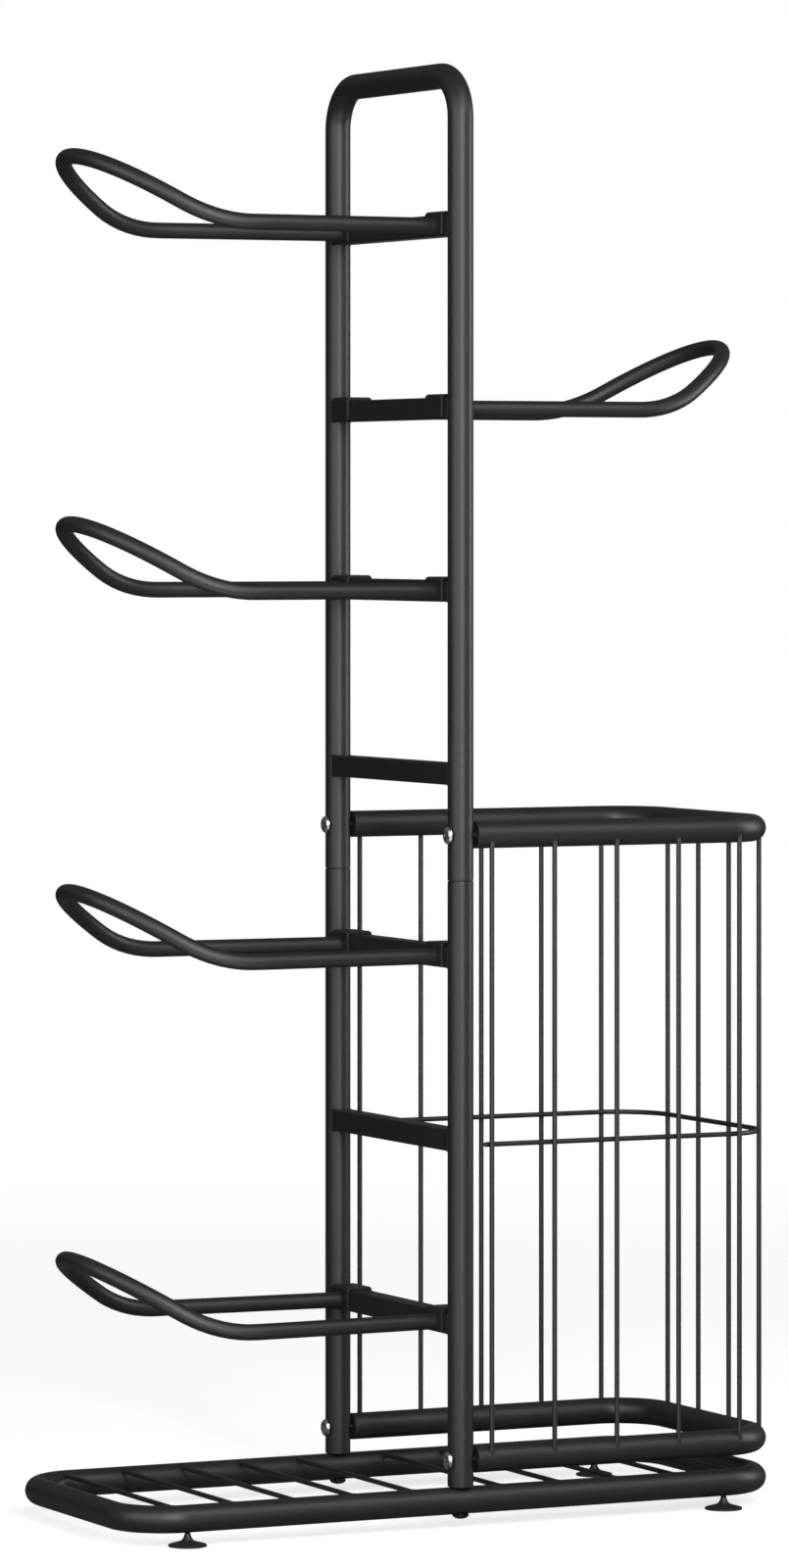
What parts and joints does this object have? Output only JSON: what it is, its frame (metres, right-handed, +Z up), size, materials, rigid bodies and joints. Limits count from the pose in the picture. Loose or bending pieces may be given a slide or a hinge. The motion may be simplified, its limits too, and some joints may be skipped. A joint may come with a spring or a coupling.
{
  "type": "ball storage rack",
  "caption": "Tall tubular floor rack with lift-off ball loops on one side, a wire basket on the other and a slatted base on levelling feet.",
  "frame": {"origin": "on the floor under the middle of the base", "axes": "+Z up, +X along the base towards the basket, +Y to the rear upright"},
  "size_m": [0.7282, 0.3176, 1.441],
  "materials": {
    "powder_coat": "satin black powder coat",
    "powder_coat_wire": "satin black powder coat",
    "plastic": "matt black moulded plastic",
    "zinc": "bright zinc plate",
    "black_steel": "blackened steel"
  },
  "bodies": {
    "frame": {"base_frame": "powder_coat", "lower_upright_front": "powder_coat", "lower_upright_rear": "powder_coat", "upper_hoop": "powder_coat", "basket_top_rim": "powder_coat", "basket_bottom_rim": "powder_coat", "crossbar_1": "powder_coat", "crossbar_2": "powder_coat", "crossbar_3": "powder_coat", "crossbar_4": "powder_coat", "crossbar_5": "powder_coat", "crossbar_6": "powder_coat", "crossbar_7": "powder_coat", "basket_mid_wire": "powder_coat_wire", "basket_wire_front_1": "powder_coat_wire", "basket_wire_front_2": "powder_coat_wire", "basket_wire_front_3": "powder_coat_wire", "basket_wire_front_4": "powder_coat_wire", "basket_wire_front_5": "powder_coat_wire", "basket_wire_rear_1": "powder_coat_wire", "basket_wire_rear_2": "powder_coat_wire", "basket_wire_rear_3": "powder_coat_wire", "basket_wire_rear_4": "powder_coat_wire", "basket_wire_rear_5": "powder_coat_wire", "basket_wire_end_1": "powder_coat_wire", "basket_wire_end_2": "powder_coat_wire", "basket_wire_end_3": "powder_coat_wire", "basket_wire_end_4": "powder_coat_wire", "rim_plug_top_front": "plastic", "rim_plug_top_rear": "plastic", "rim_plug_bottom_front": "plastic", "rim_plug_bottom_rear": "plastic", "rim_bolt_top_front": "zinc", "rim_bolt_top_rear": "zinc", "rim_bolt_bottom_front": "zinc", "rim_bolt_bottom_rear": "zinc", "base_bolt_front": "black_steel", "base_bolt_rear": "black_steel", "upright_insert_front": "black_steel", "upright_insert_rear": "black_steel"},
    "holder_1": {"ball_holder_1": "powder_coat", "holder_saddle_1_front": "powder_coat", "holder_saddle_1_rear": "powder_coat"},
    "holder_2": {"ball_holder_2": "powder_coat", "holder_saddle_2_front": "powder_coat", "holder_saddle_2_rear": "powder_coat"},
    "holder_3": {"ball_holder_3": "powder_coat", "holder_saddle_3_front": "powder_coat", "holder_saddle_3_rear": "powder_coat"},
    "holder_5": {"ball_holder_5": "powder_coat", "holder_saddle_5_front": "powder_coat", "holder_saddle_5_rear": "powder_coat"},
    "holder_7": {"ball_holder_7": "powder_coat", "holder_saddle_7_front": "powder_coat", "holder_saddle_7_rear": "powder_coat"},
    "foot_front_left": {"levelling_foot_front_left": "plastic"},
    "foot_front_right": {"levelling_foot_front_right": "plastic"},
    "foot_rear_left": {"levelling_foot_rear_left": "plastic"},
    "foot_rear_right": {"levelling_foot_rear_right": "plastic"}
  },
  "joints": [
    {"name": "holder_1_lift", "type": "slide", "parent": "frame", "child": "holder_1", "axis": [0, 0, 1], "range_m": [0, 0.03]},
    {"name": "holder_2_lift", "type": "slide", "parent": "frame", "child": "holder_2", "axis": [0, 0, 1], "range_m": [0, 0.03]},
    {"name": "holder_3_lift", "type": "slide", "parent": "frame", "child": "holder_3", "axis": [0, 0, 1], "range_m": [0, 0.03]},
    {"name": "holder_5_lift", "type": "slide", "parent": "frame", "child": "holder_5", "axis": [0, 0, 1], "range_m": [0, 0.03]},
    {"name": "holder_7_lift", "type": "slide", "parent": "frame", "child": "holder_7", "axis": [0, 0, 1], "range_m": [0, 0.03]},
    {"name": "foot_front_left_height", "type": "slide", "parent": "frame", "child": "foot_front_left", "axis": [0, 0, -1], "range_m": [0, 0.01]},
    {"name": "foot_front_right_height", "type": "slide", "parent": "frame", "child": "foot_front_right", "axis": [0, 0, -1], "range_m": [0, 0.01]},
    {"name": "foot_rear_left_height", "type": "slide", "parent": "frame", "child": "foot_rear_left", "axis": [0, 0, -1], "range_m": [0, 0.01]},
    {"name": "foot_rear_right_height", "type": "slide", "parent": "frame", "child": "foot_rear_right", "axis": [0, 0, -1], "range_m": [0, 0.01]}
  ]
}
